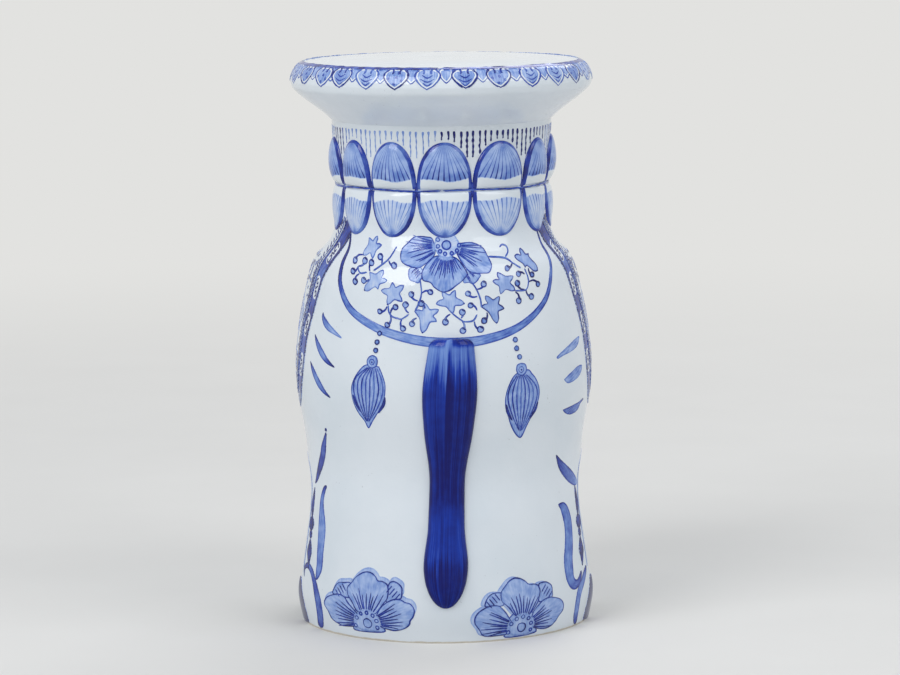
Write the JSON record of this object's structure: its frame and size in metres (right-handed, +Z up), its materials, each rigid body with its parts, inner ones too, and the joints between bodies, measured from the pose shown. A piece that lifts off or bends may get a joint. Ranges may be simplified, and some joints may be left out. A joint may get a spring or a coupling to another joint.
{
  "type": "elephant garden stool",
  "caption": "Glazed ceramic garden stool shaped as a standing elephant, with an arch between its legs, lotus petals round the neck and a round seat.",
  "frame": {"origin": "on the ground under the middle of the stool's length and width, 48 mm in front of the seat's axis", "axes": "+Z up along the axis of the seat, +Y towards the elephant's head, +X towards its right side"},
  "size_m": [0.2436, 0.3585, 0.4571],
  "materials": {
    "white_glaze": "gloss, cool white glaze with underglaze cobalt brushwork",
    "cobalt_blue": "gloss, streaky cobalt blue under a clear glaze",
    "bare_foot": "matt unglazed ceramic"
  },
  "bodies": {
    "root": {"body_shell": "white_glaze", "lotus_pedestal": "white_glaze", "seat_cap": "white_glaze", "head": "white_glaze", "trunk": "white_glaze", "ear_left": "white_glaze", "ear_right": "white_glaze", "tusk_left": "white_glaze", "tusk_right": "white_glaze", "tail": "cobalt_blue"}
  },
  "joints": []
}
